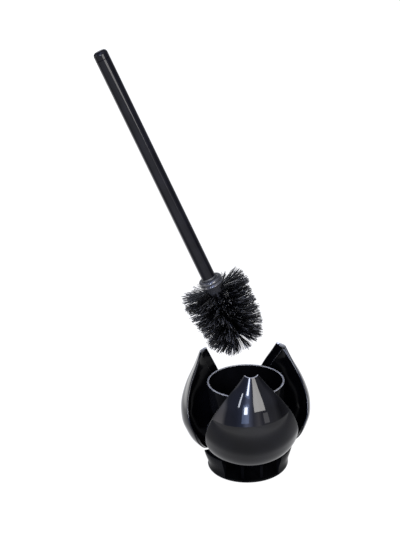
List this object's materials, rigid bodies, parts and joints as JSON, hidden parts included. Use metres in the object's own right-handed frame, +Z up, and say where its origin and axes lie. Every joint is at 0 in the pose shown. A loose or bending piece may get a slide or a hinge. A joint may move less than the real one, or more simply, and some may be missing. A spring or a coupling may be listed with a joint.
{
  "type": "toilet brush holder",
  "caption": "Bud-shaped toilet brush holder: hinged petals close round the brush when its weight sinks the sprung cup.",
  "frame": {"origin": "centre of the flat face that the holder stands on, on the axis of the base", "axes": "+Z up along the axis of the base and cup; -Y points at the middle of the front petal; the lifted brush leans towards -X"},
  "size_m": [0.2214, 0.1459, 0.4869],
  "materials": {
    "gloss_shell": "high gloss moulded black plastic",
    "cup_plastic": "gloss moulded black plastic",
    "inner_plastic": "gloss moulded black plastic, a little duller",
    "matt_plastic": "fine matt moulded plastic",
    "handle_finish": "smooth gloss black tube",
    "steel": "bright drawn steel",
    "rubber": "soft matt rubber",
    "bristle": "fine nylon filaments"
  },
  "bodies": {
    "base": {"base_shell": "gloss_shell", "non_slip_pad": "rubber", "guide_ring": "matt_plastic", "ring_screws": "steel", "hinge_pin_front": "steel", "hinge_pin_right": "steel", "hinge_pin_left": "steel"},
    "cup": {"cup": "cup_plastic", "lift_spring": "steel"},
    "brush": {"brush_core": "matt_plastic", "bristles": "bristle", "handle_socket": "matt_plastic", "handle_tube": "handle_finish", "handle_cap": "handle_finish"},
    "petal_front": {"petal_front": "gloss_shell", "petal_liner_front": "inner_plastic"},
    "petal_right": {"petal_right": "gloss_shell", "petal_liner_right": "inner_plastic"},
    "petal_left": {"petal_left": "gloss_shell", "petal_liner_left": "inner_plastic"}
  },
  "joints": [
    {"name": "cup_press", "type": "slide", "parent": "base", "child": "cup", "axis": [0, 0, 1], "range_m": [-0.0146, 0], "stiffness_N_per_m": 80, "springref_m": 0.024, "deforming": ["lift_spring"]},
    {"name": "petal_hinge_front", "type": "hinge", "parent": "base", "child": "petal_front", "pos_m": [0, -0.042, 0.027], "axis": [-1, 0, 0], "range_deg": [0, 24.65]},
    {"name": "petal_hinge_right", "type": "hinge", "parent": "base", "child": "petal_right", "pos_m": [0.03637, 0.021, 0.027], "axis": [0.5, -0.866, 0], "range_deg": [0, 24.65]},
    {"name": "petal_hinge_left", "type": "hinge", "parent": "base", "child": "petal_left", "pos_m": [-0.03637, 0.021, 0.027], "axis": [0.5, 0.866, 0], "range_deg": [0, 24.65]},
    {"name": "brush_lift", "type": "hinge", "parent": "cup", "child": "brush", "pos_m": [-0.28637, 0, 0.08594], "axis": [0, 1, 0], "range_deg": [-4, 22.3], "deforming": ["bristles"]}
  ],
  "couplings": [
    {"joint": "petal_hinge_front", "follows": "cup_press", "rad_per_m": -29.408},
    {"joint": "petal_hinge_right", "follows": "cup_press", "rad_per_m": -29.408},
    {"joint": "petal_hinge_left", "follows": "cup_press", "rad_per_m": -29.408}
  ]
}
